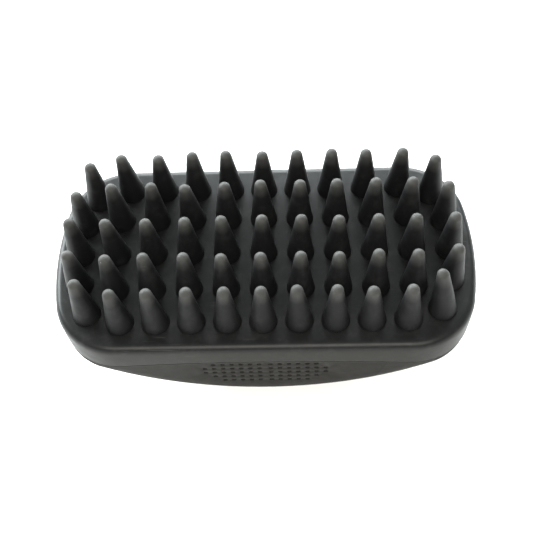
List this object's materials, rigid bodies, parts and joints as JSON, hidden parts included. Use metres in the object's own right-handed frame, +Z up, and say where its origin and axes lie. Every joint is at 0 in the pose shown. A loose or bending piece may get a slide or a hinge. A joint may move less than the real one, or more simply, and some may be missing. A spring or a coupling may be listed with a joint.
{
  "type": "scalp massager brush",
  "caption": "Hand-held scalp massager brush: rows of soft conical teeth standing through a rounded soft pad, on a hollow palm handle with dimpled side grips.",
  "frame": {"origin": "centre of the small flat on the handle's crown, which the brush stands on with its teeth up", "axes": "+X along the brush's length, +Y across it, +Z up through the teeth"},
  "size_m": [0.1156, 0.059, 0.048],
  "materials": {
    "pad_silicone": "matte soft silicone",
    "tooth_silicone": "matte soft silicone",
    "grip_silicone": "matte soft silicone, dimpled",
    "handle_plastic": "fine matte moulded",
    "carrier_plastic": "plain moulded",
    "seal_rubber": "smooth",
    "screw_steel": "bright"
  },
  "bodies": {
    "root": {"face_pad": "pad_silicone", "tooth_strip_1": "tooth_silicone", "tooth_strip_2": "tooth_silicone", "tooth_strip_3": "tooth_silicone", "tooth_strip_4": "tooth_silicone", "tooth_strip_5": "tooth_silicone", "carrier_plate": "carrier_plastic", "seal_ring": "seal_rubber", "handle_shell": "handle_plastic", "grip_front": "grip_silicone", "grip_rear": "grip_silicone", "carrier_screws": "screw_steel"}
  },
  "joints": []
}
